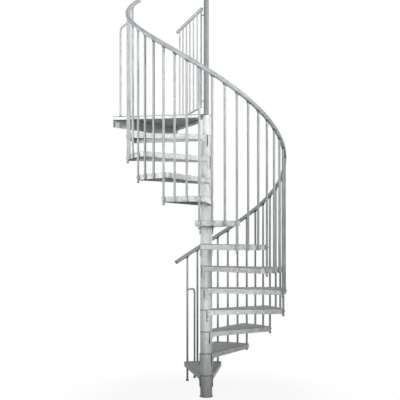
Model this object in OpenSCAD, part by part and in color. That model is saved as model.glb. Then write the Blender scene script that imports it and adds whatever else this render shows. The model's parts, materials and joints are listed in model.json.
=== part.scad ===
// Galvanised steel spiral staircase: folded wedge treads stacked with sleeves on a
// centre pole, a ring of balusters with a helical handrail, and a landing with its guard.

/* [Flight] */
// Rise from one tread to the next
riser = 215; // [190:1:235]
// Rise from the last tread to the landing
landing_rise = 200; // [180:1:235]
// Number of treads below the landing
tread_count = 12; // [10:1:13]
// Turn from one tread to the next, in degrees
tread_turn = 25; // [22:0.5:28]
// Direction of the first tread from +X, anticlockwise seen from above, in degrees
first_tread_dir = 92.5; // [0:0.5:360]

/* [Column] */
// Outside diameter of the column sleeves
sleeve_d = 120; // [100:1:140]
// Wall of the column sleeves
sleeve_t = 4; // [3:0.5:6]
// Diameter of the pole through the sleeves
pole_d = 50; // [42:1:60]
// Outside diameter of the slim spacer under the landing
spacer_d = 76; // [66:1:90]
// Wall of the slim spacer
spacer_t = 4; // [3:0.5:6]
// Diameter of the base flange
base_d = 132; // [125:1:180]
// Thickness of the base flange
base_t = 8; // [6:1:15]
// Height of the pole above the guard's top rail
post_over = 80; // [40:5:120]
// Height of the cap on the pole
post_cap_h = 14; // [8:1:25]

/* [Treads] */
// Thickness of the folded sheet
sheet_t = 4; // [2.5:0.5:6]
// Depth of the folded flanges
flange_d = 48; // [35:1:60]
// Overhang of a tread past its end balusters, along the outer edge
tread_overhang = 45; // [30:1:60]
// Corner radius at the outer end
corner_r = 30; // [15:1:34]
// Depth of the ears that clasp the column
ear_depth = 118; // [95:1:140]
// Width of an ear
ear_w = 28; // [24:1:36]
// Lean of an ear's end past the column's middle
ear_lean = 14; // [0:1:20]
// Radius between an ear and its flange
ear_fillet = 36; // [20:1:42]
// Radius of an ear's tip
ear_tip_r = 10; // [5:1:12]

/* [Balustrade] */
// Radius of the ring on which the balusters stand
baluster_ring_r = 773; // [600:1:950]
// Diameter of the balusters
baluster_d = 22; // [18:1:28]
// Balusters to each tread
balusters_per_tread = 3; // [2:1:4]
// Handrail centre above the first tread, at the first baluster
rail_h = 1165; // [950:5:1200]
// Handrail centre above the next tread's level, at the last baluster
rail_top_h = 1138; // [950:2:1200]
// Diameter of the handrail
rail_d = 42; // [36:1:50]
// Handrail lead before the first baluster, along the ring
rail_lead_in = 130; // [60:5:220]
// Handrail lead past the last baluster, along the ring
rail_lead_out = 150; // [60:5:220]
// Drop of a long baluster below the lower tread's flange
long_drop = 20; // [10:1:40]

/* [Landing] */
// Turn from the last tread to the middle of the landing, in degrees
landing_turn = 34; // [31:0.5:42]
// Angle between the landing's two sides, in degrees
landing_spread = 55; // [50:0.5:60]
// Length of the side that faces the flight, from beside the axis
landing_near_len = 932; // [880:2:1000]
// Length of the side under the guard, from beside the axis
landing_far_len = 828; // [800:2:900]
// Depth of the flanges on the two sides
landing_flange_d = 35; // [25:1:50]
// Depth of the apron along the front edge, which meets the upper floor
landing_apron_d = 108; // [85:1:130]
// Distance from the axis at which the flange on the flight's side starts
landing_near_start = 45; // [20:1:80]
// Distance from the axis at which the flange under the guard starts
landing_far_start = 300; // [200:5:340]

/* [Landing guard] */
// Direction of the guard from the landing's middle, clockwise, in degrees
guard_turn = 34.7; // [33:0.1:36]
// Height of the guard's top rail centre above the landing
guard_h = 1050; // [950:5:1080]
// Distance along the guard from beside the axis to its first bar
guard_start = 34; // [28:1:50]
// Distance of the guard's end bar back from the landing's corner
guard_end_in = 78; // [72:1:120]
// Height of the bottom rail centre above the landing
guard_foot_h = 80; // [60:5:120]
// Diameter of the top rail
guard_rail_d = 34; // [28:1:42]
// Diameter of the bottom rail
guard_foot_rail_d = 20; // [18:1:30]
// Diameter of the bars
guard_bar_d = 14; // [10:1:16]
// Number of bars
guard_bars = 7; // [5:1:9]
// Overhang of the rails past the end bar
guard_overhang = 90; // [20:5:100]
// Overhang of the rails before the first bar
guard_lead = 12; // [8:1:15]
// Diameter of the lugs that hold the guard to the pole
guard_lug_d = 12; // [8:1:14]
// Distance of a lug from the rail next to it
guard_lug_in = 60; // [40:5:120]

/* [Braces] */
// Diameter of the bent brace tubes
brace_d = 20; // [16:1:24]
// Radius of a brace's bend at its centre line
brace_bend_r = 45; // [35:1:70]
// Reach of the lower brace outside the ring
lower_brace_out = 130; // [100:5:200]
// Shift of the lower brace along the ring from the first baluster
lower_brace_side = 115; // [40:5:140]
// Height of the lower brace's arm above the floor
lower_brace_h = 1000; // [800:5:1100]
// Distance of the upper brace's leg from the landing's corner, along the apron
upper_brace_in = 85; // [60:1:140]
// Distance of the upper brace's leg from the apron's outer face
upper_brace_inset = 16; // [14:1:30]
// Height of the upper brace's arm above the landing
upper_brace_h = 900; // [700:5:950]
// Wall of the clamp round a baluster
clamp_t = 4; // [3:0.5:6]
// Height of the clamp round a baluster
clamp_h = 26; // [22:1:40]

/* [Fits] */
// Gap where one piece seats against another
seat_gap = 0.3; // [0.1:0.05:0.5]
// Radial gap of a baluster in the hole of the landing
hole_gap = 1.5; // [1:0.5:4]

/* [Hidden] */
$fn = 64;
arc_steps = 12;
corner_steps = 6;
rail_sides = 16;
rail_parts = 4;
rail_rings = 20;
// Balusters counted round the whole flight, from the first to the last
last_baluster = tread_count * balusters_per_tread;
baluster_turn = tread_turn / balusters_per_tread;
// Tread outer face, just inside the balusters
tread_r = baluster_ring_r - baluster_d / 2 - seat_gap;
half_spread = tread_turn / 2 + arc_degrees(tread_overhang, tread_r);
// Side flanges run tangent to the sleeve: outer face at this distance from the axis
side_off = sleeve_d / 2 + seat_gap + sheet_t;
side_dir = half_spread - asin(side_off / tread_r);
corner_s = sqrt(pow(tread_r - corner_r, 2) - pow(side_off - corner_r, 2));
corner_dir = side_dir + atan2(side_off - corner_r, corner_s);
landing_z = tread_count * riser + landing_rise;
landing_dir = tread_dir(tread_count) - landing_turn;
guard_dir = landing_dir - guard_turn;
// Distance along the guard from beside the axis to its end bar
guard_len = landing_far_len - guard_end_in;
// Height of the pole above the landing
post_h = guard_h + post_over;
// Guard's line beside the pole
guard_off = pole_d / 2 + seat_gap + guard_rail_d / 2;
// Rise of the handrail from one baluster to the next, and its slope along the ring
rail_step = riser / balusters_per_tread + (rail_top_h - rail_h) / last_baluster;
rail_slope = atan2(rail_step, arc_length(baluster_turn, baluster_ring_r));
rail_start = -arc_degrees(rail_lead_in, baluster_ring_r) / baluster_turn;
rail_end = last_baluster + arc_degrees(rail_lead_out, baluster_ring_r) / baluster_turn;
upper_brace_baluster = last_baluster - 2;
cut_size = 4 * baluster_d;

function arc_degrees(length, r) = length / r * 180 / PI;
function arc_length(degrees, r) = degrees * r * PI / 180;
function two_digits(n) = n < 10 ? str("0", n) : str(n);
function tread_name(n) = str("tread_", two_digits(n));
function balusters_name(n) = str("balusters_", two_digits(n));
function handrail_name(n) = str("handrail_", n);
function reversed(list) = [for (i = [len(list) - 1:-1:0]) list[i]];
function turned(p, a) = [p[0] * cos(a) - p[1] * sin(a), p[0] * sin(a) + p[1] * cos(a)];
function arc_points(c, r, from, to, steps) =
    [for (i = [0:steps]) let (a = from + (to - from) * i / steps) c + r * [cos(a), sin(a)]];
function inner_points(list) = [for (i = [1:len(list) - 2]) list[i]];
// Points mirrored to the other side of a tread, in the order that carries the outline on
function mirrored(list) = [for (p = reversed(list)) [p[0], -p[1]]];

function tread_dir(n) = first_tread_dir - tread_turn * (n - 1);
function baluster_dir(k) = first_tread_dir + tread_turn / 2 - baluster_turn * k;
function ring_point(k) = baluster_ring_r * [cos(baluster_dir(k)), sin(baluster_dir(k))];
function rail_z(k) = riser + rail_h + rail_step * k;
function is_long(k) = k % balusters_per_tread == 0;
function tread_of(k) = ceil(k / balusters_per_tread);
function baluster_foot_z(k) =
    k == 0 ? 0 : tread_of(k) * riser - flange_d - (is_long(k) ? long_drop : 0);

// Tread rim from the column round the outer end and back, inset by a wall
function rim_side(inset) = concat(
    [turned([-ear_lean, side_off - inset], side_dir)],
    arc_points(turned([corner_s, side_off - corner_r], side_dir), corner_r - inset,
               side_dir + 90, corner_dir, corner_steps));
function rim_points(inset) = concat(
    rim_side(inset),
    inner_points(arc_points([0, 0], tread_r - inset, corner_dir, -corner_dir, arc_steps)),
    mirrored(rim_side(inset)));

// Side view of a tread: a shallow flange that deepens into an ear at the column
function tread_silhouette() = let (
    ear_out = ear_w - ear_lean,
    tip_z = ear_tip_r - ear_depth,
    lip_z = -2 * sheet_t) concat(
    [[-sleeve_d, sheet_t], [-sleeve_d, lip_z], [0, lip_z]],
    arc_points([ear_tip_r - ear_lean, tip_z], ear_tip_r, 180, 270, corner_steps),
    arc_points([ear_out - ear_tip_r, tip_z], ear_tip_r, 270, 360, corner_steps),
    arc_points([ear_out + ear_fillet, -flange_d - ear_fillet], ear_fillet, 180, 90, corner_steps),
    [[2 * tread_r, -flange_d], [2 * tread_r, sheet_t]]);

// Points on the landing's sides, at a distance along each from beside the axis
function near_side(along) = turned([along, side_off], landing_spread / 2);
function far_side(along) = turned([along, -side_off], -landing_spread / 2);
near_corner = near_side(landing_near_len);
far_corner = far_side(landing_far_len);
flange_path = [near_side(landing_near_start), near_corner, far_corner, far_side(landing_far_start)];
function right_normal(p, q) = [q[1] - p[1], p[0] - q[0]] / norm(q - p);
// Path moved to its right by a wall, with mitred corners
function inset_path(path, wall) = let (last = len(path) - 1) [for (i = [0:last]) let (
    before = right_normal(path[max(i - 1, 0)], path[max(i, 1)]),
    after = right_normal(path[min(i, last - 1)], path[min(i + 1, last)]))
    path[i] + wall * (before + after) / (1 + before * after)];

// Ring of the handrail's section at a place along the flight
function rail_ring(k) = let (
    a = baluster_dir(k),
    out = [cos(a), sin(a), 0],
    lift = [sin(rail_slope) * -sin(a), sin(rail_slope) * cos(a), 0] + [0, 0, cos(rail_slope)],
    c = [each ring_point(k), rail_z(k)])
    [for (j = [0:rail_sides - 1]) let (b = 360 * j / rail_sides)
        c + rail_d / 2 * (cos(b) * out + sin(b) * lift)];

module tube(d, wall, h) {
    difference() {
        cylinder(d = d, h = h);
        translate([0, 0, -1]) cylinder(d = d - 2 * wall, h = h + 2);
    }
}

module base_flange() {
    color("darkgray") cylinder(d = base_d, h = base_t);
}

module centre_pole() {
    color("silver") translate([0, 0, base_t]) cylinder(d = pole_d, h = landing_z + post_h - base_t);
}

module post_cap() {
    color("dimgray") translate([0, 0, landing_z + post_h]) intersection() {
        cylinder(d = pole_d, h = post_cap_h);
        cap_r = (pow(pole_d / 2, 2) + pow(post_cap_h, 2)) / (2 * post_cap_h);
        translate([0, 0, post_cap_h - cap_r]) sphere(r = cap_r);
    }
}

module column_sleeves() {
    for (n = [1:tread_count]) {
        foot = n == 1 ? base_t : (n - 1) * riser;
        color("lightgray") translate([0, 0, foot]) tube(sleeve_d, sleeve_t, n * riser - sheet_t - foot);
    }
}

module landing_spacer() {
    foot = tread_count * riser;
    color("lightgray") translate([0, 0, foot]) tube(spacer_d, spacer_t, landing_z - sheet_t - foot);
}

// Sheet tray folded down all round, cut to its side view, with a hole for the pole
module folded_tread() {
    difference() {
        intersection() {
            union() {
                translate([0, 0, -sheet_t]) linear_extrude(sheet_t) {
                    polygon(rim_points(0));
                    circle(d = sleeve_d);
                }
                translate([0, 0, -2 * ear_depth]) linear_extrude(2 * ear_depth)
                    polygon(concat(rim_points(0), reversed(rim_points(sheet_t))));
            }
            rotate([90, 0, 0]) linear_extrude(2 * tread_r, center = true) polygon(tread_silhouette());
        }
        translate([0, 0, -2 * sheet_t]) cylinder(d = pole_d + 2 * seat_gap, h = 4 * sheet_t);
    }
}

module tread(n) {
    color("gainsboro") translate([0, 0, n * riser]) rotate([0, 0, tread_dir(n)]) folded_tread();
}

// Deck plate with side flanges and a deeper front apron, holed for the pole and the last baluster
module landing_deck() {
    hole = ring_point(last_baluster);
    inner = inset_path(flange_path, sheet_t);
    color("gainsboro") difference() {
        translate([0, 0, landing_z]) rotate([0, 0, landing_dir]) {
            translate([0, 0, -sheet_t]) linear_extrude(sheet_t) {
                polygon([near_side(0), near_corner, far_corner, far_side(0)]);
                circle(d = spacer_d);
            }
            translate([0, 0, -landing_flange_d]) linear_extrude(landing_flange_d)
                polygon(concat(flange_path, reversed(inner)));
            translate([0, 0, -landing_apron_d]) linear_extrude(landing_apron_d)
                polygon([near_corner, far_corner, inner[2], inner[1]]);
        }
        translate([0, 0, landing_z - 2 * sheet_t]) cylinder(d = pole_d + 2 * seat_gap, h = 4 * sheet_t);
        translate([hole[0], hole[1], landing_z - 2 * sheet_t])
            cylinder(d = baluster_d + 2 * hole_gap, h = 4 * sheet_t);
    }
}

// Upright bar cut at the handrail's slope, to seat under the rail
module baluster(k) {
    foot = baluster_foot_z(k);
    top = rail_z(k) - (rail_d / 2 + seat_gap) / cos(rail_slope);
    reach = top + baluster_d * tan(rail_slope);
    place = ring_point(k);
    color("silver") translate([place[0], place[1], 0]) rotate([0, 0, baluster_dir(k) - 90]) difference() {
        translate([0, 0, foot]) cylinder(d = baluster_d, h = reach - foot);
        translate([0, 0, top]) rotate([0, -rail_slope, 0])
            translate([-cut_size / 2, -cut_size / 2, 0]) cube(cut_size);
    }
}

module tread_balusters(n) {
    for (i = [0:balusters_per_tread - 1]) baluster((n - 1) * balusters_per_tread + i);
}

// One length of the handrail: a round section carried up the helix
module handrail(n) {
    span = (rail_end - rail_start) / rail_parts;
    from = rail_start + (n - 1) * span;
    rings = [for (i = [0:rail_rings]) rail_ring(from + span * i / rail_rings)];
    points = [for (ring = rings) each ring];
    sides = [for (i = [0:rail_rings - 1], j = [0:rail_sides - 1])
        let (a = i * rail_sides + j, b = i * rail_sides + (j + 1) % rail_sides)
        [a, b, b + rail_sides, a + rail_sides]];
    first = [for (j = [0:rail_sides - 1]) rail_sides - 1 - j];
    last = [for (j = [0:rail_sides - 1]) rail_rings * rail_sides + j];
    color("silver") polyhedron(points, concat([first], sides, [last]));
}

// Upright panel beside the pole: two rails, a row of bars and two lugs to the pole
module landing_guard() {
    pitch = (guard_len - guard_start) / (guard_bars - 1);
    rail_len = guard_lead + guard_len - guard_start + guard_overhang;
    lug_reach = norm([guard_start, guard_off]);
    color("silver") translate([0, 0, landing_z]) rotate([0, 0, guard_dir]) {
        translate([guard_start - guard_lead, guard_off, guard_h]) rotate([0, 90, 0])
            cylinder(d = guard_rail_d, h = rail_len);
        translate([guard_start - guard_lead, guard_off, guard_foot_h]) rotate([0, 90, 0])
            cylinder(d = guard_foot_rail_d, h = rail_len);
        for (i = [0:guard_bars - 1]) {
            foot = i == guard_bars - 1 ? 0 : guard_foot_h;
            translate([guard_start + i * pitch, guard_off, foot])
                cylinder(d = guard_bar_d, h = guard_h - foot);
        }
        for (z = [guard_foot_h + guard_lug_in, guard_h - guard_lug_in])
            translate([0, 0, z]) rotate([0, 0, atan2(guard_off, guard_start)]) rotate([0, 90, 0])
                translate([0, 0, pole_d / 2 + seat_gap])
                    cylinder(d = guard_lug_d, h = lug_reach - pole_d / 2 - seat_gap);
    }
}

// Bent tube: a leg, a quarter bend and an arm that ends in a clamp round a baluster
module brace(k, leg, foot_z, arm_z) {
    place = ring_point(k);
    reach = norm(leg - place);
    clamp_out = baluster_d / 2 + seat_gap + clamp_t;
    translate([place[0], place[1], 0]) rotate([0, 0, atan2(leg[1] - place[1], leg[0] - place[0])]) {
        translate([reach, 0, foot_z]) cylinder(d = brace_d, h = arm_z - brace_bend_r - foot_z);
        translate([reach - brace_bend_r, 0, arm_z - brace_bend_r]) rotate([90, 0, 0])
            rotate_extrude(angle = 90) translate([brace_bend_r, 0]) circle(d = brace_d);
        difference() {
            union() {
                rotate([0, 90, 0]) translate([-arm_z, 0, 0])
                    cylinder(d = brace_d, h = reach - brace_bend_r);
                translate([0, 0, arm_z - clamp_h / 2]) cylinder(r = clamp_out, h = clamp_h);
            }
            translate([0, 0, arm_z - clamp_h]) cylinder(d = baluster_d + 2 * seat_gap, h = 2 * clamp_h);
        }
    }
}

// Leg on the floor, outside the first baluster
module lower_brace() {
    leg = ring_point(0) + turned([lower_brace_out, -lower_brace_side], baluster_dir(0));
    color("silver") brace(0, leg, 0, lower_brace_h);
}

// Leg on the landing, just inside its apron
module upper_brace() {
    along = (far_corner - near_corner) / norm(far_corner - near_corner);
    inward = right_normal(near_corner, far_corner);
    leg = turned(near_corner + upper_brace_in * along + upper_brace_inset * inward, landing_dir);
    color("silver") brace(upper_brace_baluster, leg, landing_z, landing_z + upper_brace_h);
}

base_flange();
centre_pole();
post_cap();
column_sleeves();
landing_spacer();
for (n = [1:tread_count]) tread(n);
landing_deck();
for (n = [1:tread_count]) tread_balusters(n);
baluster(last_baluster);  // end_baluster
for (n = [1:rail_parts]) handrail(n);
landing_guard();
lower_brace();
upper_brace();
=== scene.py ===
import json
import math

import bmesh
import bpy
import numpy as np
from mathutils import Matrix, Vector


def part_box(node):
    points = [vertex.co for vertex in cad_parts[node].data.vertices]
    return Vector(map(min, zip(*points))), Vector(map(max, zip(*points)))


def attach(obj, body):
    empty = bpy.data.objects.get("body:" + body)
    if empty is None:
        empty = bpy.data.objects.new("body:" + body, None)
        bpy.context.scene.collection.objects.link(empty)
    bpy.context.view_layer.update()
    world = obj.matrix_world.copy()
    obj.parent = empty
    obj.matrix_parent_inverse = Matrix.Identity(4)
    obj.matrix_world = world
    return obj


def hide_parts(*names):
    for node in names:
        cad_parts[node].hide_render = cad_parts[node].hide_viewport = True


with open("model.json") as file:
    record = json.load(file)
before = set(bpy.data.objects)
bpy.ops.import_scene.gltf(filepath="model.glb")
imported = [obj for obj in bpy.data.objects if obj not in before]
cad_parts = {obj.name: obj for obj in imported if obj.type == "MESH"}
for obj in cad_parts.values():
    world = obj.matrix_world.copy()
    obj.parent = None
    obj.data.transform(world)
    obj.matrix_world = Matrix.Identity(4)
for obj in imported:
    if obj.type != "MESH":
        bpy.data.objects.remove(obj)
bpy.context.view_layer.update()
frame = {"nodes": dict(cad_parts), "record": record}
print("frame loaded:", len(frame["nodes"]), "CAD nodes")


def toLinear(hexColour):
    # the sRGB curve taken back to linear, channel by channel
    coded = np.array([int(hexColour[i:i + 2], 16) for i in (1, 3, 5)]) / 255
    linear = np.where(coded <= 0.04045, coded / 12.92, ((coded + 0.055) / 1.055) ** 2.4)
    return (*linear.tolist(), 1.0)


def addNode(tree, kind, inputs=None, **settings):
    # a node with its settings; an input given as a socket is linked, any other value is set
    node = tree.nodes.new(kind)
    for key, value in settings.items():
        setattr(node, key, value)
    for key, value in (inputs or {}).items():
        if isinstance(value, bpy.types.NodeSocket):
            tree.links.new(value, node.inputs[key])
        else:
            node.inputs[key].default_value = value
    return node


def newMaterial(name):
    material = bpy.data.materials.new(name)
    material.use_nodes = True
    material.node_tree.nodes.clear()
    return material, material.node_tree


# the zinc of every dipped piece: how far the crystals' borders wander, the range of the cloud noise
# that shows, and how deep the frost is in metres
zinc = {"wander": 0.012, "cloudFrom": 0.3, "cloudTo": 0.7, "frostDepth": 0.0006}


def galvanised(name, look):
    # zinc from the dip: crystals of a few shades (spangle), broad clouds where it cooled unevenly, and
    # a fine frost that takes the gloss off; metallic is set far below a real metal's, because
    # a metal mirrors the white room and loses the photograph's greys
    material, tree = newMaterial(name)
    place = addNode(tree, "ShaderNodeTexCoord").outputs["Object"]
    drawn = addNode(tree, "ShaderNodeMapping", {"Vector": place, "Scale": look["stretch"]}).outputs[0]
    wobble = addNode(tree, "ShaderNodeTexNoise", {"Vector": drawn, "Scale": 1 / look["spangle"],
                                                  "Detail": 2.0})
    bent = addNode(tree, "ShaderNodeMix", {0: zinc["wander"], 4: drawn, 5: wobble.outputs["Color"]},
                   data_type="VECTOR")
    spangle = addNode(tree, "ShaderNodeTexVoronoi", {"Vector": bent.outputs[1],
                                                     "Scale": 1 / look["spangle"]})
    cell = addNode(tree, "ShaderNodeSeparateColor", {0: spangle.outputs["Color"]}).outputs[0]
    clouds = addNode(tree, "ShaderNodeTexNoise", {"Vector": drawn, "Scale": 1 / look["clouds"],
                                                  "Detail": 4.0, "Roughness": 0.6}).outputs[0]
    frost = addNode(tree, "ShaderNodeTexNoise", {"Vector": place, "Scale": 1 / look["frost"], "Detail": 3.0})
    crystals = addNode(tree, "ShaderNodeMath", {0: cell, 1: look["spangleShare"]}, operation="MULTIPLY")
    broad = addNode(tree, "ShaderNodeMapRange", {0: clouds, 1: zinc["cloudFrom"], 2: zinc["cloudTo"], 3: 0.0,
                                                 4: 1 - look["spangleShare"]})
    shade = addNode(tree, "ShaderNodeMath", {0: crystals.outputs[0], 1: broad.outputs[0]}, operation="ADD")
    colour = addNode(tree, "ShaderNodeMix", {0: shade.outputs[0], 6: toLinear(look["dark"]),
                                             7: toLinear(look["light"])}, data_type="RGBA")
    gloss = addNode(tree, "ShaderNodeMapRange", {0: cell, 3: look["roughness"][0], 4: look["roughness"][1]})
    bump = addNode(tree, "ShaderNodeBump", {"Height": frost.outputs[0], "Strength": look["bump"],
                                            "Distance": zinc["frostDepth"]})
    shader = addNode(tree, "ShaderNodeBsdfPrincipled", {
        "Base Color": colour.outputs[2], "Roughness": gloss.outputs[0], "Metallic": look["metallic"],
        "Specular IOR Level": look["specular"], "Normal": bump.outputs[0]})
    addNode(tree, "ShaderNodeOutputMaterial", {"Surface": shader.outputs[0]})
    return material


# spangle, clouds and frost are sizes in metres, the frost drawn coarser than the real one so that it shows;
# a stretch below 1 draws the pattern out along that axis

# hot-dip galvanised sheet: dull silver grey with a clear spangle on the treads and the landing
sheetLook = {"dark": "#949999", "light": "#D2D5D4", "spangle": 0.012, "spangleShare": 0.7, "clouds": 0.12,
             "frost": 0.003, "bump": 0.25, "roughness": (0.42, 0.64), "metallic": 0.04, "specular": 0.12,
             "stretch": (1, 1, 1)}
# galvanised column tube: smoother and brighter, with runs down its length
sleeveLook = {"dark": "#A5A9AA", "light": "#C6C9C8", "spangle": 0.014, "spangleShare": 0.5, "clouds": 0.07,
              "frost": 0.003, "bump": 0.12, "roughness": (0.40, 0.52), "metallic": 0.06, "specular": 0.14,
              "stretch": (1, 1, 0.5)}
# galvanised small tube of the balusters and braces: satin, drawn along its length
tubeLook = {"dark": "#7B7F80", "light": "#9A9E9E", "spangle": 0.010, "spangleShare": 0.5, "clouds": 0.05,
            "frost": 0.002, "bump": 0.12, "roughness": (0.34, 0.44), "metallic": 0.03, "specular": 0.16,
            "stretch": (1, 1, 0.25)}
# the same tube, darker on the bare pole, and a touch paler and rougher on the guard
poleLook = {**tubeLook, "dark": "#5C6061", "light": "#7C8081", "roughness": (0.36, 0.46)}
guardLook = {**tubeLook, "dark": "#7D8181", "light": "#9DA1A1", "roughness": (0.38, 0.48)}
# galvanised handrail: an even satin grey, worn a little smoother by hands
railLook = {"dark": "#787C7E", "light": "#979B9D", "spangle": 0.012, "spangleShare": 0.4, "clouds": 0.11,
            "frost": 0.002, "bump": 0.12, "roughness": (0.30, 0.42), "metallic": 0.03, "specular": 0.18,
            "stretch": (1, 1, 1)}
# the sheet along its folds and cut edges, and the beads at the ears: painted shade, a near-black line for
# the shadow along them
foldShadeLook = {**sheetLook, "dark": "#25282A", "light": "#464A4B", "bump": 0.15}
# the landing's underside and the inward faces of its apron: the same zinc painted darker as painted shade,
# with less shine
undersideShadeLook = {**sheetLook, "dark": "#757979", "light": "#AAAEAE", "specular": 0.08}
sheetSteel = galvanised("galvanised sheet steel", sheetLook)
undersideShadeSteel = galvanised("painted shade on the landing underside", undersideShadeLook)
foldShadeSteel = galvanised("painted shade on sheet edges", foldShadeLook)
sleeveSteel = galvanised("galvanised column tube", sleeveLook)
tubeSteel = galvanised("galvanised small tube", tubeLook)
poleSteel = galvanised("galvanised pole tube", poleLook)
guardSteel = galvanised("galvanised guard tube", guardLook)
railSteel = galvanised("galvanised handrail tube", railLook)

grainDepth = 0.0003  # relief of the plain finishes, in metres; their grain is drawn coarse so that it shows


def plainFinish(name, look):
    # one body colour that drifts a little, with a grain in the gloss and the relief
    material, tree = newMaterial(name)
    place = addNode(tree, "ShaderNodeTexCoord").outputs["Object"]
    drift = addNode(tree, "ShaderNodeTexNoise", {"Vector": place, "Scale": 1 / look["drift"], "Detail": 3.0})
    grain = addNode(tree, "ShaderNodeTexNoise", {"Vector": place, "Scale": 1 / look["grain"], "Detail": 2.0})
    colour = addNode(tree, "ShaderNodeMix", {0: drift.outputs[0], 6: toLinear(look["dark"]),
                                             7: toLinear(look["light"])}, data_type="RGBA")
    gloss = addNode(tree, "ShaderNodeMapRange", {0: grain.outputs[0], 3: look["roughness"][0],
                                                 4: look["roughness"][1]})
    bump = addNode(tree, "ShaderNodeBump", {"Height": grain.outputs[0], "Strength": look["bump"],
                                            "Distance": grainDepth})
    shader = addNode(tree, "ShaderNodeBsdfPrincipled", {
        "Base Color": colour.outputs[2], "Roughness": gloss.outputs[0], "Metallic": look["metallic"],
        "Normal": bump.outputs[0]})
    addNode(tree, "ShaderNodeOutputMaterial", {"Surface": shader.outputs[0]})
    return material


# moulded polyethylene of the plugs, cap and saddles: dark grey with a soft sheen and a fine mould grain
plugLook = {"dark": "#2B2C2E", "light": "#3E4042", "drift": 0.03, "grain": 0.0012, "bump": 0.25,
            "roughness": (0.42, 0.6), "metallic": 0.0}
# zinc-plated bolts: brighter and cooler than the dipped steel, with a slight haze
boltLook = {"dark": "#8B9094", "light": "#B9BEC1", "drift": 0.006, "grain": 0.0015, "bump": 0.1,
            "roughness": (0.28, 0.42), "metallic": 0.6}
# rubber of the rings between sleeve and tread: matt near black
rubberLook = {"dark": "#1E1F20", "light": "#2E2F30", "drift": 0.02, "grain": 0.001, "bump": 0.3,
              "roughness": (0.7, 0.85), "metallic": 0.0}
plugPlastic = plainFinish("moulded polyethylene plug", plugLook)
boltZinc = plainFinish("zinc-plated bolt", boltLook)
ringRubber = plainFinish("black rubber ring", rubberLook)
print("materials made:", len(bpy.data.materials))

steelOf = {"tread_steel": sheetSteel, "sleeve_steel": sleeveSteel, "tube_steel": tubeSteel,
           "rail_steel": railSteel, "cap_plastic": plugPlastic}
ownSteel = {"centre_pole": poleSteel, "landing_guard": guardSteel}
for part in frame["record"]["subparts"]:
    for slot in frame["nodes"][part["node"]].material_slots:
        slot.material = ownSteel.get(part["node"], steelOf[part["material_slot"]])

# how the frame's corners are told apart: the least angle between two balusters, the share of a tread's reach
# that counts as its rim, how far a tip, foot, face or end goes in metres, and the play in a measure
reading = {"barGap": math.radians(3), "rimShare": 0.97, "earTip": 0.012, "legFoot": 0.005, "barFoot": 0.002,
           "apronFace": 0.001, "topRail": 0.01, "railEnd": 0.002, "play": 0.0005}
upward = np.array([0, 0, 1.0])


def nodePoints(name):
    # the corners of a CAD node, one row of x, y and z each, without repeats
    mesh = frame["nodes"][name].data
    flat = np.empty(3 * len(mesh.vertices))
    mesh.vertices.foreach_get("co", flat)
    return np.unique(flat.reshape(-1, 3).round(6), axis=0)


def nodeNames(start):
    return sorted(name for name in frame["nodes"] if name.startswith(start))


def boxMiddle(points):
    return (points.min(axis=0) + points.max(axis=0)) / 2


def furthest(points, direction, within):
    # the corners that lie furthest along a direction, to within a distance
    reach = points @ direction
    return points[reach > reach.max() - within]


landingMount = next(mount for mount in frame["record"]["mounts"] if mount["name"] == "landing_edge")
landingAxis = np.array(landingMount["axis"])
landingAngle = math.atan2(landingAxis[1], landingAxis[0])


def climbAngle(points):
    # angle round the column, from the landing's middle clockwise, so it grows as the stair climbs
    return (landingAngle - np.arctan2(points[..., 1], points[..., 0])) % (2 * math.pi)


def outward(climb):
    # unit vector away from the column at a climb angle
    bearing = landingAngle - np.asarray(climb)
    return np.stack([np.cos(bearing), np.sin(bearing), np.zeros_like(bearing)], -1)


def uphill(climb):
    # level unit vector along the ring, the way the stair climbs
    bearing = landingAngle - np.asarray(climb)
    return np.stack([np.sin(bearing), -np.cos(bearing), np.zeros_like(bearing)], -1)


# the handrail's helix, read back from its CAD lengths: height = railBase + railRise * climb angle
railPoints = np.vstack([nodePoints(name) for name in nodeNames("handrail")])
railRadii = np.hypot(railPoints[:, 0], railPoints[:, 1])
ringRadius = (railRadii.max() + railRadii.min()) / 2
railRadius = (railRadii.max() - railRadii.min()) / 2
railRise, railBase = np.polyfit(climbAngle(railPoints), railPoints[:, 2], 1)
railTilt = math.atan2(railRise, ringRadius)
endLean = railRadius * math.sin(railTilt) / ringRadius
railStart = climbAngle(railPoints).min() + endLean
railEnd = climbAngle(railPoints).max() - endLean


def onRing(climb, height):
    # a place on the balusters' ring: ring radius * outward + height * up
    return ringRadius * outward(climb) + np.asarray(height)[..., None] * upward


def railPlace(climb):
    # centre line of the helix
    return onRing(climb, railBase + railRise * climb)


def railFrame(climb):
    # along the rail, outwards and square to both
    along = math.cos(railTilt) * uphill(climb) + math.sin(railTilt) * upward
    return along, outward(climb), np.cross(outward(climb), along)


# every baluster's middle, foot and radius, and its place round the column
balusterBars = []
for name in nodeNames("balusters") + ["end_baluster"]:
    points = nodePoints(name)
    points = points[np.argsort(climbAngle(points))]
    breaks = np.flatnonzero(np.diff(climbAngle(points)) > reading["barGap"]) + 1
    balusterBars += [(*boxMiddle(bar)[:2], bar[:, 2].min(), np.ptp(bar[:, 0]) / 2)
                     for bar in np.split(points, breaks)]
balusterBars = np.array(balusterBars)
barFoot, barRadius = balusterBars[:, 2], balusterBars[0, 3]
barClimb = climbAngle(balusterBars)
barsPerTread = 3

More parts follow.
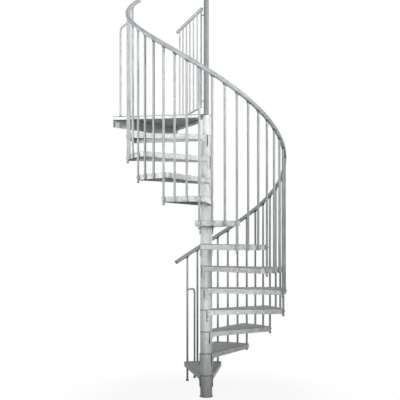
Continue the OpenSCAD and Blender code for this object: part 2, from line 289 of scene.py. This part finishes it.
# every tread's top, flange foot, reach round the column, middle, sheet thickness, ears and lowest tip
treads = []
for name in nodeNames("tread"):
    points = nodePoints(name)
    radii = np.hypot(points[:, 0], points[:, 1])
    rim = points[radii > reading["rimShare"] * radii.max()]
    start, end = climbAngle(rim).min(), climbAngle(rim).max()
    top = points[:, 2].max()
    low = furthest(points, -upward, reading["earTip"])
    middle = (start + end) / 2
    side = low @ uphill(middle)
    treads.append({"top": top, "flangeFoot": rim[:, 2].min(), "from": start, "to": end, "middle": middle,
                   "sheet": top - points[points[:, 2] < top - reading["play"]][:, 2].max(),
                   "ears": [boxMiddle(low[side > 0]), boxMiddle(low[side < 0])], "tip": points[:, 2].min()})
sheet = treads[0]["sheet"]
print("read from the frame:", len(balusterBars), "balusters,", len(treads), "treads")

# every mesh: how close points are merged, in metres, and up to which angle new pieces shade smooth,
# in degrees
meshing = {"mergeWithin": 1e-6, "smoothUpTo": 32}


def placePiece(name, mesh, smoothUpTo):
    # shades the mesh smooth but for sharper edges, and puts it on the stair's one body
    mesh.polygons.foreach_set("use_smooth", np.ones(len(mesh.polygons), bool))
    mesh.set_sharp_from_angle(angle=math.radians(smoothUpTo))
    piece = bpy.data.objects.new(name, mesh)
    bpy.context.scene.collection.objects.link(piece)
    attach(piece, "root")
    return piece


def addPiece(name, grids, material):
    # each grid is copies by rows by columns of points and closes round its columns;
    # rows that shrink to a point, and a last row that meets the first, are merged
    points, faces, start = [], [], 0
    for grid in grids:
        index = start + np.arange(grid.size // 3).reshape(grid.shape[:3])
        ahead = np.roll(index, -1, axis=2)
        faces.append(np.stack([index[:, :-1], ahead[:, :-1], ahead[:, 1:], index[:, 1:]], -1).reshape(-1, 4))
        points.append(grid.reshape(-1, 3))
        start += grid.size // 3
    mesh = bpy.data.meshes.new(name)
    mesh.from_pydata(np.vstack(points).tolist(), [], np.vstack(faces).tolist())
    solid = bmesh.new()
    solid.from_mesh(mesh)
    bmesh.ops.remove_doubles(solid, verts=solid.verts, dist=meshing["mergeWithin"])
    bmesh.ops.recalc_face_normals(solid, faces=solid.faces)
    solid.to_mesh(mesh)
    solid.free()
    mesh.materials.append(material)
    return placePiece(name, mesh, meshing["smoothUpTo"])


def roundAngles(sides):
    # even steps once round a circle
    return np.arange(sides) * 2 * math.pi / sides


def turned(profile, origins, axes, sides):
    # a profile of (radius, height) rows turned about an axis at each origin:
    # origin + height * axis + radius * (cos * across + sin * up)
    profile, origins, axes = (np.asarray(v, float) for v in (profile, origins, axes))
    axes = np.broadcast_to(axes / np.linalg.norm(axes, axis=-1, keepdims=True), origins.shape)
    nearlyUpright = np.abs(axes[:, 2:]) > 0.9
    across = np.cross(np.where(nearlyUpright, [1.0, 0.0, 0.0], upward), axes)
    across /= np.linalg.norm(across, axis=1, keepdims=True)
    up = np.cross(axes, across)
    angles = roundAngles(sides)
    ring = np.cos(angles)[:, None] * across[:, None] + np.sin(angles)[:, None] * up[:, None]
    along = origins[:, None] + profile[:, 1][:, None] * axes[:, None]
    return along[:, :, None] + profile[:, 0][:, None, None] * ring[:, None]


def closeEnds(sections):
    # a row more at each end, shrunk to the middle of the end section
    middles = np.repeat(sections.mean(axis=1, keepdims=True), sections.shape[1], axis=1)
    return np.concatenate([middles[:1], sections, middles[-1:]])


sink = 0.001  # how far a fixing reaches into what it sits on, in metres
hexagon = 6


def discRows(radius, foot, top):
    # a disc with square edges, as (radius, height) rows
    return [[0, foot], [radius, foot], [radius, top], [0, top]]


def chamferedRows(radius, foot, top, chamferIn, chamferDown):
    # a disc with a chamfer round its top
    return [[0, foot], [radius, foot], [radius, top - chamferDown], [radius - chamferIn, top], [0, top]]


def domeRows(radius, foot, height, rows=5):
    # quarter ellipse from the rim up to the crown
    rise = np.linspace(0, math.pi / 2, rows)
    return np.stack([radius * np.cos(rise), foot + height * np.sin(rise)], -1)


def stopRows(radius, skirt, dome):
    # a stop let in by the sink, with a straight skirt and a domed end
    return np.vstack([[0, -sink], [radius, -sink], domeRows(radius, skirt, dome)])


# handrail: a round section carried up the helix, with a hairline groove where two lengths meet
handrail = {"sides": 36, "stations": 420, "lengths": 4, "grooveDepth": 0.0007, "grooveWidth": 0.0016,
            "grooveFlank": 1.6, "plugInset": 0.0008, "plugLip": 0.002, "plugShoulder": 0.003,
            "plugDome": 0.006, "plugSides": 32}
meetings = np.linspace(railStart, railEnd, handrail["lengths"] + 1)[1:-1]
halfGroove = handrail["grooveWidth"] / 2 / ringRadius
flank = handrail["grooveFlank"]
stations = np.unique(np.concatenate([np.linspace(railStart, railEnd, handrail["stations"]),
                                     *(meetings + side * halfGroove for side in (-flank, -1, 1, flank))]))
inGroove = (np.abs(stations[:, None] - meetings) < (1 + flank) / 2 * halfGroove).any(axis=1)
sectionRadius = railRadius - handrail["grooveDepth"] * inGroove
_, railOut, railLift = railFrame(stations)
sectionAngles = roundAngles(handrail["sides"])
railSections = railPlace(stations)[:, None] + sectionRadius[:, None, None] * (
    np.cos(sectionAngles)[:, None] * railOut[:, None] + np.sin(sectionAngles)[:, None] * railLift[:, None])
railTube = addPiece("handrail_tube", [closeEnds(railSections)[None]], railSteel)
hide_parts(*nodeNames("handrail"))
railEnds = np.array([railStart, railEnd])
endAxes = railFrame(railEnds)[0] * np.array([[-1.0], [1.0]])
railPlugRows = np.vstack([discRows(railRadius - handrail["plugInset"], -sink, handrail["plugLip"])[:-1],
                          domeRows(railRadius - handrail["plugShoulder"], handrail["plugLip"],
                                   handrail["plugDome"])])
addPiece("handrail_plugs", [turned(railPlugRows, railPlace(railEnds), endAxes, handrail["plugSides"])],
         plugPlastic)
print("handrail done")

# saddles: a collar on each baluster's head that spreads into an oval plate lying along the rail's underside
saddle = {"collarWall": 0.0012, "collarHeight": 0.010, "neckHeight": 0.006, "neckSlope": 0.3,
          "flare": 0.002, "flareSlope": 0.85, "plateLength": 0.042, "plateWidth": 0.030,
          "plateThickness": 0.005, "gap": 0.0002, "crown": 0.002, "sides": 28}
collar = barRadius + saddle["collarWall"]
# rows of (half length, half width, drop below the rail's underside, share of the rail's slope)
saddleRows = np.array([
    [0.0, 0.0, saddle["collarHeight"], 0.0],
    [collar, collar, saddle["collarHeight"], 0.0],
    [collar, collar, saddle["neckHeight"], saddle["neckSlope"]],
    [collar + saddle["flare"], collar, saddle["plateThickness"] + saddle["flare"], saddle["flareSlope"]],
    [saddle["plateLength"] / 2, saddle["plateWidth"] / 2, saddle["plateThickness"], 1.0],
    [saddle["plateLength"] / 2, saddle["plateWidth"] / 2, saddle["gap"], 1.0],
    [0.0, 0.0, -saddle["crown"], 1.0]])
saddleAngles = roundAngles(saddle["sides"])
forth = saddleRows[:, 0:1] * np.cos(saddleAngles)
aside = saddleRows[:, 1:2] * np.sin(saddleAngles)
# underside of a sloping round bar: forth * slope - depth of the circle / cos(slope)
railUnderside = forth * math.tan(railTilt) - np.sqrt(railRadius ** 2 - aside ** 2) / math.cos(railTilt)
levelUnderside = -railRadius / math.cos(railTilt)
slopeShare = saddleRows[:, 3:4]
saddleHeight = slopeShare * railUnderside + (1 - slopeShare) * levelUnderside - saddleRows[:, 2:3]
saddles = (railPlace(barClimb)[:, None, None] + forth[..., None] * uphill(barClimb)[:, None, None]
           + aside[..., None] * outward(barClimb)[:, None, None] + saddleHeight[..., None] * upward)
addPiece("rail_saddles", [saddles], plugPlastic)
print("saddles done")

# baluster bolts: a washer, a hexagon nut and a domed end outside the baluster, and a washer and
# a hexagon head inside the tread's flange
flangeBolt = {"washer": 0.0085, "washerHeight": 0.0012, "washerSides": 16, "sunk": 0.0035, "nut": 0.0072,
              "nutHeight": 0.0065, "dome": 0.0055, "domeSides": 12, "innerWasher": 0.0105,
              "washerDish": 0.0002, "head": 0.0080, "headHeight": 0.0053, "chamferIn": 0.001,
              "chamferDown": 0.0008, "barToFlange": 0.0003}
bolted = np.array([(bar, (tread["top"] + tread["flangeFoot"]) / 2)
                   for bar in range(len(barClimb)) for tread in treads
                   if tread["from"] < barClimb[bar] < tread["to"] and barFoot[bar] < tread["top"]])
boltClimb = barClimb[bolted[:, 0].astype(int)]
boltAxis = outward(boltClimb)
boltPlace = onRing(boltClimb, bolted[:, 1])
boltChamfer = flangeBolt["chamferIn"], flangeBolt["chamferDown"]
outerWasher = discRows(flangeBolt["washer"], barRadius - flangeBolt["sunk"],
                       barRadius + flangeBolt["washerHeight"])
nutTop = barRadius + flangeBolt["nutHeight"]
outerNut = chamferedRows(flangeBolt["nut"], barRadius, nutTop, *boltChamfer)
outerDome = np.vstack([[0, nutTop - sink],
                       domeRows(flangeBolt["dome"], nutTop - sink / 2, flangeBolt["dome"])])
flangeInside = barRadius + sheet + flangeBolt["barToFlange"]
washerInside = flangeInside + flangeBolt["washerHeight"]
innerHead = [*discRows(flangeBolt["innerWasher"], flangeInside - sink, washerInside)[:-1],
             *chamferedRows(flangeBolt["head"], washerInside + flangeBolt["washerDish"],
                            flangeInside + flangeBolt["headHeight"], *boltChamfer)[1:]]
addPiece("baluster_bolts", [turned(outerWasher, boltPlace, boltAxis, flangeBolt["washerSides"]),
                            turned(outerNut, boltPlace, boltAxis, hexagon),
                            turned(outerDome, boltPlace, boltAxis, flangeBolt["domeSides"]),
                            turned(innerHead, boltPlace, -boltAxis, hexagon)], boltZinc)
print("baluster bolts done:", len(bolted))

# ear bolts: a low round head at each ear's tip, square to the ear
earBolt = {"up": 0.016, "radius": 0.007, "skirt": 0.0015, "dome": 0.003, "sides": 20}
ears = np.array([ear for tread in treads for ear in tread["ears"]])
tips = np.repeat([tread["tip"] for tread in treads], 2)
earAxis = np.column_stack([ears[:, :2] / np.linalg.norm(ears[:, :2], axis=1, keepdims=True), 0 * tips])
earPlace = np.column_stack([ears[:, :2], tips + earBolt["up"]]) + earAxis * sheet / 2
earHead = stopRows(earBolt["radius"], earBolt["skirt"], earBolt["dome"])
addPiece("ear_bolts", [turned(earHead, earPlace, earAxis, earBolt["sides"])], boltZinc)

# ear edging: a near-black bead down each ear's free edge and round its tip, painted shade for the shadowed
# gap
# where the ear stands off the sleeve: a circle carried down a straight line and a quarter turn, in the plane
# of the ear's outer face
edging = {"radius": 0.0030, "sides": 10, "rows": 8, "tipRadius": 0.010, "under": 0.005, "belowFlange": 0.035}
beadAngles = roundAngles(edging["sides"])[:, None]
tipTurn = np.linspace(0, math.pi / 2, edging["rows"])
beadLean = np.concatenate([[0, 0], tipTurn])[:, None]
beads = []
for name, tread in zip(nodeNames("tread"), treads):
    points = nodePoints(name)
    points = points[points[:, 2] < tread["flangeFoot"] - edging["belowFlange"]]
    side = points @ uphill(tread["middle"])
    for ear in (points[side > 0], points[side < 0]):
        along = np.linalg.svd((ear - ear.mean(axis=0))[:, :2])[2][0]
        along = np.array([*along, 0]) * np.sign(along @ outward(tread["middle"])[:2])
        normal = np.array([-along[1], along[0], 0])
        normal = normal * np.sign(normal @ ear.mean(axis=0))
        freeEdge, outerFace = (ear @ along).min(), (ear @ normal).max()
        reach = np.concatenate([[freeEdge, freeEdge],
                                freeEdge + edging["tipRadius"] * (1 - np.cos(tipTurn))])
        high = np.concatenate([[tread["top"] - edging["under"], (tread["top"] + tread["tip"]) / 2],
                               tread["tip"] + edging["tipRadius"] * (1 - np.sin(tipTurn))])
        path = reach[:, None] * along + outerFace * normal + high[:, None] * upward
        inPlane = np.cos(beadLean) * along + np.sin(beadLean) * upward
        beads.append(closeEnds(path[:, None] + edging["radius"] * (np.cos(beadAngles) * inPlane[:, None]
                                                                   + np.sin(beadAngles) * normal)))
addPiece("ear_shade_beads", [np.array(beads)], foldShadeSteel)
print("ear edging done:", len(beads))

# plugs: a dark domed stop over the foot of each long baluster that hangs free, and a flatter one
# in each short one
plug = {"lip": 0.0008, "skirt": 0.003, "dome": 0.005, "sides": 24, "offFloor": 0.01}
flatPlug = {"inset": 0.001, "skirt": 0.0005, "dome": 0.003, "sides": 20}
offFloor = barFoot > plug["offFloor"]
long = np.arange(len(barFoot)) % barsPerTread == 0
longFeet = onRing(barClimb, barFoot)[offFloor & long]
shortFeet = onRing(barClimb, barFoot)[offFloor & ~long]
longPlug = stopRows(barRadius + plug["lip"], plug["skirt"], plug["dome"])
shortPlug = stopRows(barRadius - flatPlug["inset"], flatPlug["skirt"], flatPlug["dome"])
addPiece("baluster_plugs", [turned(longPlug, longFeet, -upward, plug["sides"]),
                            turned(shortPlug, shortFeet, -upward, flatPlug["sides"])],
         plugPlastic)


def legOf(name):
    # the middle of the foot of a brace's leg, and its radius
    foot = furthest(nodePoints(name), -upward, reading["legFoot"])
    return boxMiddle(foot), np.ptp(foot[:, 0]) / 2


# shoes: a flared collar where the first baluster and the two braces stand
shoe = {"wall": 0.004, "height": 0.016, "bite": 0.0005, "flare": 0.002, "flareHeight": 0.003,
        "chamferIn": 0.001, "chamferDown": 0.002, "sides": 28}
lowerLeg, braceRadius = legOf("lower_brace")
upperLeg, _ = legOf("upper_brace")
firstBar = onRing(barClimb[np.argmin(barFoot)], 0.0)
shoes = []
for place, radius in ((firstBar, barRadius), (lowerLeg, braceRadius), (upperLeg, braceRadius)):
    bore, wall = radius - shoe["bite"], radius + shoe["wall"]
    foot = wall + shoe["flare"]
    shoeRows = [[bore, 0.0], [foot, 0.0], [foot, shoe["flareHeight"]],
                [wall, shoe["flareHeight"] + shoe["flare"]], [wall, shoe["height"] - shoe["chamferDown"]],
                [wall - shoe["chamferIn"], shoe["height"]], [bore, shoe["height"]], [bore, 0.0]]
    shoes.append(turned(shoeRows, [place], upward, shoe["sides"]))
addPiece("foot_shoes", shoes, plugPlastic)
print("plugs and shoes done")

# seam rings: thin rubber under each tread's hub, and over all but the last, a hair proud of the sleeve
seamRing = {"proud": 0.0009, "height": 0.0032, "deep": 0.003, "chamfer": 0.0006, "sides": 64}
sleevePoints = nodePoints("column_sleeves")
sleeveRadius = np.hypot(sleevePoints[:, 0], sleevePoints[:, 1]).max()
outer, inner = sleeveRadius + seamRing["proud"], sleeveRadius - seamRing["deep"]
ringTop, ringChamfer = seamRing["height"], seamRing["chamfer"]
seamRows = [[inner, 0], [outer - ringChamfer, 0], [outer, ringChamfer], [outer, ringTop - ringChamfer],
            [outer - ringChamfer, ringTop], [inner, ringTop], [inner, 0]]
hubs = np.array([tread["top"] for tread in treads])[:, None] * upward
addPiece("seam_rings", [turned(seamRows, hubs - (sheet + ringTop) * upward, upward, seamRing["sides"]),
                        turned(seamRows, hubs[:-1], upward, seamRing["sides"])], ringRubber)

# landing nuts: a washer, nut and stud under the upper brace and the guard's end bar, and inside the apron
landingNut = {"washer": 0.015, "washerHeight": 0.002, "washerSides": 24, "nut": 0.011, "nutFrom": 0.0015,
              "nutHeight": 0.011, "chamferIn": 0.0015, "chamferDown": 0.001, "stud": 0.006,
              "studFrom": 0.005, "studLength": 0.019, "studChamfer": 0.001, "studSides": 16,
              "apronIn": 0.106, "apronDrop": 0.045}
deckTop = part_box("landing_deck")[1][2]
guardPoints = nodePoints("landing_guard")
endBar = boxMiddle(furthest(guardPoints, -upward, reading["barFoot"]))
apron = furthest(nodePoints("landing_deck"), landingAxis, reading["apronFace"])
nearCorner = apron[np.argmin(apron[:, 1])] * [1, 1, 0] + deckTop * upward
alongApron = np.cross(landingAxis, upward)
alongApron = alongApron * np.sign(alongApron @ (apron.mean(axis=0) - nearCorner))
apronSpot = (nearCorner + landingNut["apronIn"] * alongApron - landingNut["apronDrop"] * upward
             - sheet * landingAxis)
nutPlaces = [[*upperLeg[:2], deckTop - sheet], [*endBar[:2], deckTop - sheet], apronSpot]
nutAxes = [-upward, -upward, -landingAxis]
deckWasher = discRows(landingNut["washer"], -sink, landingNut["washerHeight"])
deckNut = chamferedRows(landingNut["nut"], landingNut["nutFrom"], landingNut["nutHeight"],
                        landingNut["chamferIn"], landingNut["chamferDown"])
deckStud = chamferedRows(landingNut["stud"], landingNut["studFrom"], landingNut["studLength"],
                         landingNut["studChamfer"], landingNut["studChamfer"])
addPiece("landing_nuts", [turned(deckWasher, nutPlaces, nutAxes, landingNut["washerSides"]),
                          turned(deckNut, nutPlaces, nutAxes, hexagon),
                          turned(deckStud, nutPlaces, nutAxes, landingNut["studSides"])],
         boltZinc)

# grommet: a grooved rubber ring in the landing's hole, round the last baluster
grommet = {"width": 0.006, "gap": 0.0002, "groove": 0.004, "lipBelow": 0.002, "lipAbove": 0.003,
           "chamferIn": 0.002, "chamferDown": 0.0015, "sides": 32}
ringBore, ringRim = barRadius + grommet["gap"], barRadius + grommet["width"]
neck, ringFoot = ringRim - grommet["groove"], -sheet - grommet["lipBelow"]
grommetRows = [[ringBore, ringFoot], [ringRim, ringFoot], [ringRim, -sheet], [neck, -sheet], [neck, 0.0],
               [ringRim, 0.0], [ringRim, grommet["lipAbove"] - grommet["chamferDown"]],
               [ringRim - grommet["chamferIn"], grommet["lipAbove"]], [ringBore, grommet["lipAbove"]],
               [ringBore, ringFoot]]
addPiece("landing_grommet", [turned(grommetRows, [onRing(barClimb[-1], deckTop)], upward, grommet["sides"])],
         ringRubber)
print("landing fixings done")

# clamp bolts: a hexagon head on the far side of each brace's clamp
clampBolt = {"head": 0.008, "height": 0.006, "sunk": 0.002, "chamfer": 0.001}
bars = onRing(barClimb, barFoot)[:, :2]
clampPlaces, clampAxes = [], []
for name, leg in (("lower_brace", lowerLeg), ("upper_brace", upperLeg)):
    points = nodePoints(name)
    gaps = np.linalg.norm(bars[:, None] - points[None, :, :2], axis=2).min(axis=1)
    bar = bars[np.argmin(gaps)]
    clamp = points[np.linalg.norm(points[:, :2] - bar, axis=1) < 2 * barRadius]
    away = bar - leg[:2]
    away /= np.linalg.norm(away)
    clampPlaces.append([*(bar + away * ((clamp[:, :2] - bar) @ away).max()), boxMiddle(clamp)[2]])
    clampAxes.append([*away, 0.0])
clampHead = chamferedRows(clampBolt["head"], -clampBolt["sunk"], clampBolt["height"], clampBolt["chamfer"],
                          clampBolt["chamfer"])
addPiece("clamp_bolts", [turned(clampHead, clampPlaces, clampAxes, hexagon)], boltZinc)

# guard plugs: dark stops in the open ends of the guard's two rails
guardPlug = {"inset": 0.0008, "lip": 0.0015, "dome": 0.003, "sides": 28}
topRail = furthest(guardPoints, upward, reading["topRail"])
guardAxis = np.linalg.svd(topRail - topRail.mean(axis=0))[2][0]
guardAxis = guardAxis * np.sign(guardAxis @ topRail.mean(axis=0))
guardPlugs = []
for axis in (guardAxis, -guardAxis):
    ends = furthest(guardPoints, axis, reading["railEnd"])
    halfway = boxMiddle(ends)[2]
    for ring in (ends[ends[:, 2] > halfway], ends[ends[:, 2] < halfway]):
        radius = np.ptp(ring[:, 2]) / 2 - guardPlug["inset"]
        guardStop = stopRows(radius, guardPlug["lip"], guardPlug["dome"])
        guardPlugs.append(turned(guardStop, [boxMiddle(ring)], axis, guardPlug["sides"]))
addPiece("guard_plugs", guardPlugs, plugPlastic)
print("guard plugs done")

# folded sheet: the treads and the landing with the radius that folding leaves along the top and the small
# one that deburring leaves on every other edge, both coloured dark as painted shade; angles are in degrees,
# a fold's least drop is in sheets, and a face lies flat if more than this share of its normal is upright
fold = {"radius": 0.007, "edge": 0.0017, "segments": 4, "from": 25, "flatWithin": 0.5, "levelWithin": 1e-5,
        "leastDrop": 3, "lying": 0.5, "smoothUpTo": 35}


def weighEdges(solid):
    # bevel weights: a fold has the full radius, and runs along the top over a face that goes down a good way
    weight = solid.edges.layers.float.new("bevel_weight_edge")
    top = max(v.co.z for v in solid.verts)
    for edge in solid.edges:
        if len(edge.link_faces) < 2 or edge.calc_face_angle() < math.radians(fold["from"]):
            continue
        upright = min(edge.link_faces, key=lambda face: abs(face.normal.z))
        drop = top - min(v.co.z for v in upright.verts)
        level = all(v.co.z > top - fold["levelWithin"] for v in edge.verts)
        folded = level and edge.is_convex and drop > fold["leastDrop"] * sheet
        edge[weight] = 1.0 if folded else fold["edge"] / fold["radius"]


def paintUndersideShade(solid, underside):
    # gives the underside's painted-shade material to faces that look down, or in towards the deck's middle
    middle = np.mean([v.co for v in solid.verts], axis=0)
    for face in solid.faces:
        inward = (middle - np.array(face.calc_center_median()))[:2] @ np.array(face.normal)[:2] > 0
        hidden = face.normal.z < -fold["lying"] or (abs(face.normal.z) < fold["lying"] and inward)
        face.material_index = underside if hidden else 0


for name in nodeNames("tread") + ["landing_deck"]:
    mesh = frame["nodes"][name].data.copy()
    solid = bmesh.new()
    solid.from_mesh(mesh)
    bmesh.ops.remove_doubles(solid, verts=solid.verts, dist=meshing["mergeWithin"])
    bmesh.ops.dissolve_limit(solid, angle_limit=math.radians(fold["flatWithin"]), verts=solid.verts,
                             edges=solid.edges)
    weighEdges(solid)
    # the landing's downward and inward faces get the painted-shade material
    if name == "landing_deck":
        mesh.materials.append(undersideShadeSteel)
        paintUndersideShade(solid, len(mesh.materials) - 1)
    solid.to_mesh(mesh)
    solid.free()
    mesh.materials.append(foldShadeSteel)
    piece = placePiece(name + "_folded", mesh, fold["smoothUpTo"])
    bend = piece.modifiers.new("fold radius", "BEVEL")
    bend.width = fold["radius"]
    bend.segments = fold["segments"]
    bend.limit_method = "WEIGHT"
    # short edges round the landing's holes would clamp all its radii to nothing
    bend.use_clamp_overlap = name != "landing_deck"
    # the fold and edge bevels take the painted-shade edge material
    bend.material = len(mesh.materials) - 1
    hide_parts(name)
print("folded sheet done")


def seenDirectly(tree):
    # 1 for what is seen straight, mirrored or through something, and 0 for what only lights other things
    path = addNode(tree, "ShaderNodeLightPath").outputs
    either = addNode(tree, "ShaderNodeMath", {0: path["Is Camera Ray"], 1: path["Is Glossy Ray"]},
                     operation="MAXIMUM")
    return addNode(tree, "ShaderNodeMath", {0: either.outputs[0], 1: path["Is Transmission Ray"]},
                   operation="MAXIMUM").outputs[0]


# floor: pale, white to the eye further out, and near the stair dim enough to keep its soft shadow
floor = {"half": 30.0, "below": 0.0005, "colour": "#9A9A98", "shadowShare": 0.07, "shadowFrom": 0.6,
         "shadowReach": 1.7}
corners = np.array([[-1, -1, 0], [1, -1, 0], [1, 1, 0], [-1, 1, 0]]) * floor["half"]
corners = corners - floor["below"] * upward
floorMesh = bpy.data.meshes.new("studio_floor")
floorMesh.from_pydata(corners.tolist(), [], [[0, 1, 2, 3]])
floorSheet = bpy.data.objects.new("studio_floor", floorMesh)
bpy.context.scene.collection.objects.link(floorSheet)
floorPaper, paperTree = newMaterial("pale studio paper")
paperPlace = addNode(paperTree, "ShaderNodeTexCoord").outputs["Object"]
fromColumn = addNode(paperTree, "ShaderNodeVectorMath", {0: paperPlace}, operation="LENGTH")
fade = addNode(paperTree, "ShaderNodeMapRange", {
    0: fromColumn.outputs["Value"], 1: floor["shadowFrom"], 2: floor["shadowReach"],
    3: 1 - floor["shadowShare"], 4: 1.0}, interpolation_type="SMOOTHSTEP")
whiteShare = addNode(paperTree, "ShaderNodeMath", {0: seenDirectly(paperTree), 1: fade.outputs[0]},
                     operation="MULTIPLY")
paper = addNode(paperTree, "ShaderNodeBsdfDiffuse", {"Color": toLinear(floor["colour"])})
white = addNode(paperTree, "ShaderNodeEmission", {"Color": (1, 1, 1, 1), "Strength": 1.0})
paperMix = addNode(paperTree, "ShaderNodeMixShader", {0: whiteShare.outputs[0], 1: paper.outputs[0],
                                                      2: white.outputs[0]})
addNode(paperTree, "ShaderNodeOutputMaterial", {"Surface": paperMix.outputs[0]})
floorMesh.materials.append(floorPaper)

# world: white to the eye and in reflections, a low even light on everything else
room = {"seen": 1.0, "ambient": 0.13}
world = bpy.data.worlds.new("studio")
bpy.context.scene.world = world
world.use_nodes = True
roomTree = world.node_tree
roomTree.nodes.clear()
dimRoom = addNode(roomTree, "ShaderNodeBackground", {"Color": (1, 1, 1, 1), "Strength": room["ambient"]})
whiteRoom = addNode(roomTree, "ShaderNodeBackground", {"Color": (1, 1, 1, 1), "Strength": room["seen"]})
roomMix = addNode(roomTree, "ShaderNodeMixShader", {0: seenDirectly(roomTree), 1: dimRoom.outputs[0],
                                                    2: whiteRoom.outputs[0]})
addNode(roomTree, "ShaderNodeOutputWorld", {"Surface": roomMix.outputs[0]})

# soft boxes: place, what each looks at, width and height in metres, power in watts, and spread in degrees
softBoxes = {"key": ((-2.4, -6.8, 2.4), (-0.6, 0, 3.4), (4.2, 2.4), 60.0, 54),
             "strip": ((8.0, -6.4, 5.2), (-0.6, 0, 3.7), (1.1, 3.6), 60.0, 31),
             "fill": ((0.5, -6.5, 1.1), (0.1, 0, 0.85), (0.8, 0.8), 2.2, 15),
             "bounce": ((-4.2, -2.6, 1.6), (-0.5, 0, 3.2), (2.0, 1.6), 23.0, 60),
             "top": ((0.4, 0.6, 7.4), (0, 0, 2.0), (2.6, 2.6), 27.0, 180),
             "backRight": ((4.2, 5.2, 1.9), (0, 0, 3.2), (3.0, 2.2), 48.0, 58),
             "backLeft": ((-4.6, 4.4, 2.4), (0, 0, 3.1), (3.0, 2.2), 32.0, 60)}
for name, (place, aim, (width, height), power, spread) in softBoxes.items():
    lamp = bpy.data.lights.new(name, "AREA")
    lamp.shape = "RECTANGLE"
    lamp.size = width
    lamp.size_y = height
    lamp.energy = power
    lamp.spread = math.radians(spread)
    box = bpy.data.objects.new(name, lamp)
    box.location = place
    x, y, z = np.array(place) - np.array(aim)
    box.rotation_euler = (math.atan2(math.hypot(x, y), z), 0, math.atan2(x, -y))
    bpy.context.scene.collection.objects.link(box)

# camera: level, as high as the photograph's, its frame slid up to take in the whole stair
view = {"place": (-0.0616, -6.7888, 1.5755), "lens": 61.84, "sensor": 36.0, "slide": 0.0924,
        "clipEnd": 200.0}
camera = bpy.data.cameras.new("photo view")
camera.lens = view["lens"]
camera.sensor_width = view["sensor"]
camera.shift_y = view["slide"]
camera.clip_end = view["clipEnd"]
cameraStand = bpy.data.objects.new("photo view", camera)
cameraStand.location = view["place"]
cameraStand.rotation_euler = (math.radians(90), 0, 0)
bpy.context.scene.collection.objects.link(cameraStand)
bpy.context.scene.camera = cameraStand
bpy.context.scene.view_settings.view_transform = "Standard"
print("floor, lights and camera set")
